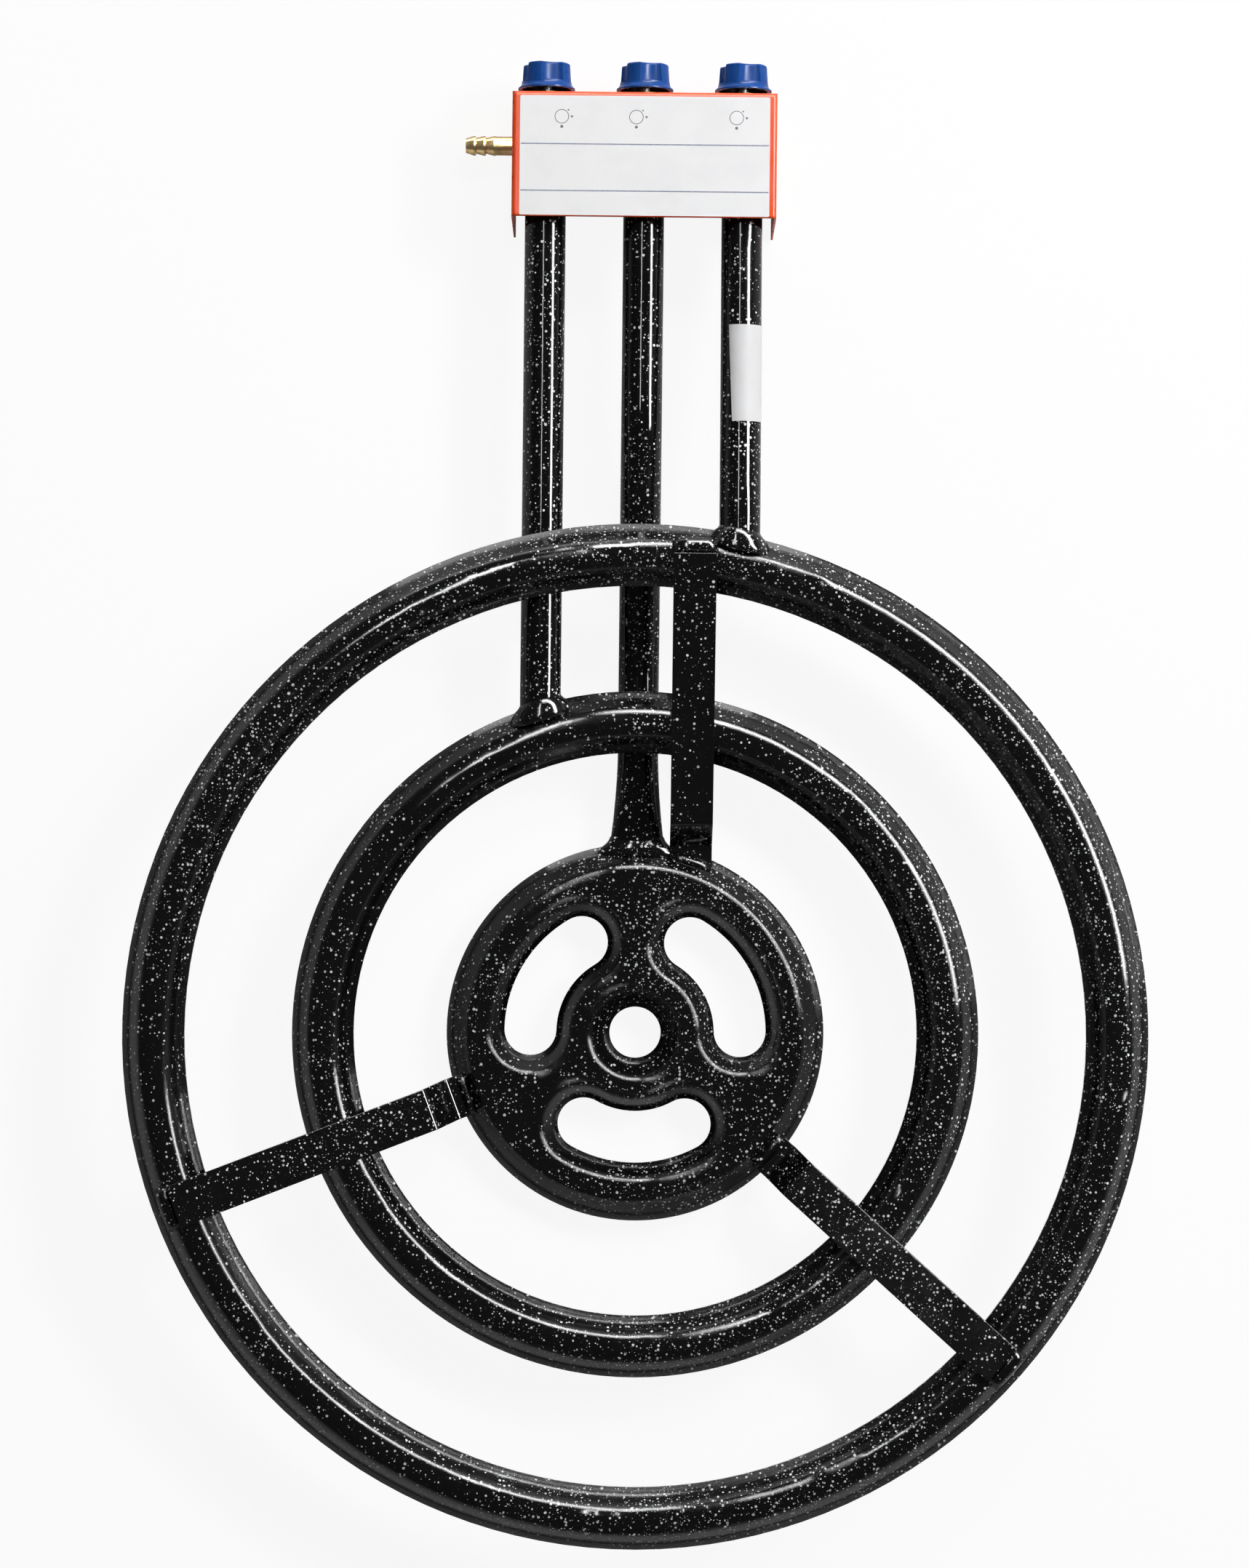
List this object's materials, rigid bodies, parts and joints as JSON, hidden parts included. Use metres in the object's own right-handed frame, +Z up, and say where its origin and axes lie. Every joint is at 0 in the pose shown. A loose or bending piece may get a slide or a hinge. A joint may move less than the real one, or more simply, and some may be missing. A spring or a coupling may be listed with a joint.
{
  "type": "paella burner",
  "caption": "Gas ring burner for wide paella pans: concentric pressed rings round a slotted disc on flat straps, fed by tubes from a box of push-and-turn taps",
  "frame": {"origin": "on the floor under the middle of the whole part, rings to knobs", "axes": "+Z up, the side that carries the pan; +Y from the rings to the knobs; +X to the right seen from above with the knobs at the top"},
  "size_m": [0.5999, 0.8718, 0.0731],
  "materials": {
    "enamel": "glossy black vitreous enamel with fine white speckles",
    "orange_paint": "orange-red powder coat",
    "zinc_plated_steel": "zinc plated",
    "brass": "machined brass",
    "gasket_rubber": "matte rubber",
    "spring_steel": "drawn wire",
    "spindle_steel": "turned steel",
    "knob_plastic": "semi-gloss moulded plastic"
  },
  "bodies": {
    "burner": {"outer_ring_upper_shell": "enamel", "outer_ring_lower_shell": "enamel", "middle_ring_upper_shell": "enamel", "middle_ring_lower_shell": "enamel", "centre_disc_upper_shell": "enamel", "centre_disc_lower_shell": "enamel", "feed_tube_outer": "enamel", "feed_tube_middle": "enamel", "feed_tube_centre": "enamel", "strap_tap_side": "enamel", "strap_left": "enamel", "strap_right": "enamel", "control_box_cover": "orange_paint", "tube_bracket": "zinc_plated_steel", "gas_manifold": "zinc_plated_steel", "hose_barb": "brass", "manifold_end_plug": "brass", "tap_foot_screws": "zinc_plated_steel", "bonnet_screws": "zinc_plated_steel", "tap_body_1": "brass", "tap_bonnet_1": "brass", "panel_nut_1": "brass", "tap_gasket_1": "gasket_rubber", "injector_1": "brass", "tap_body_2": "brass", "tap_bonnet_2": "brass", "panel_nut_2": "brass", "tap_gasket_2": "gasket_rubber", "injector_2": "brass", "tap_body_3": "brass", "tap_bonnet_3": "brass", "panel_nut_3": "brass", "tap_gasket_3": "gasket_rubber", "injector_3": "brass"},
    "cone_1": {"tap_cone_1": "brass", "tap_spring_1": "spring_steel"},
    "knob_1": {"tap_spindle_1": "spindle_steel", "knob_1": "knob_plastic"},
    "cone_2": {"tap_cone_2": "brass", "tap_spring_2": "spring_steel"},
    "knob_2": {"tap_spindle_2": "spindle_steel", "knob_2": "knob_plastic"},
    "cone_3": {"tap_cone_3": "brass", "tap_spring_3": "spring_steel"},
    "knob_3": {"tap_spindle_3": "spindle_steel", "knob_3": "knob_plastic"}
  },
  "joints": [
    {"name": "tap_turn_1", "type": "hinge", "parent": "burner", "child": "cone_1", "pos_m": [-0.058, 0.4, 0.035], "axis": [0, 1, 0], "range_deg": [0, 135]},
    {"name": "tap_push_1", "type": "slide", "parent": "cone_1", "child": "knob_1", "axis": [0, -1, 0], "range_m": [0, 0.003], "stiffness_N_per_m": 1000, "springref_m": -0.003, "deforming": ["tap_spring_1"]},
    {"name": "tap_turn_2", "type": "hinge", "parent": "burner", "child": "cone_2", "pos_m": [0, 0.4, 0.035], "axis": [0, 1, 0], "range_deg": [0, 135]},
    {"name": "tap_push_2", "type": "slide", "parent": "cone_2", "child": "knob_2", "axis": [0, -1, 0], "range_m": [0, 0.003], "stiffness_N_per_m": 1000, "springref_m": -0.003, "deforming": ["tap_spring_2"]},
    {"name": "tap_turn_3", "type": "hinge", "parent": "burner", "child": "cone_3", "pos_m": [0.058, 0.4, 0.035], "axis": [0, 1, 0], "range_deg": [0, 135]},
    {"name": "tap_push_3", "type": "slide", "parent": "cone_3", "child": "knob_3", "axis": [0, -1, 0], "range_m": [0, 0.003], "stiffness_N_per_m": 1000, "springref_m": -0.003, "deforming": ["tap_spring_3"]}
  ]
}
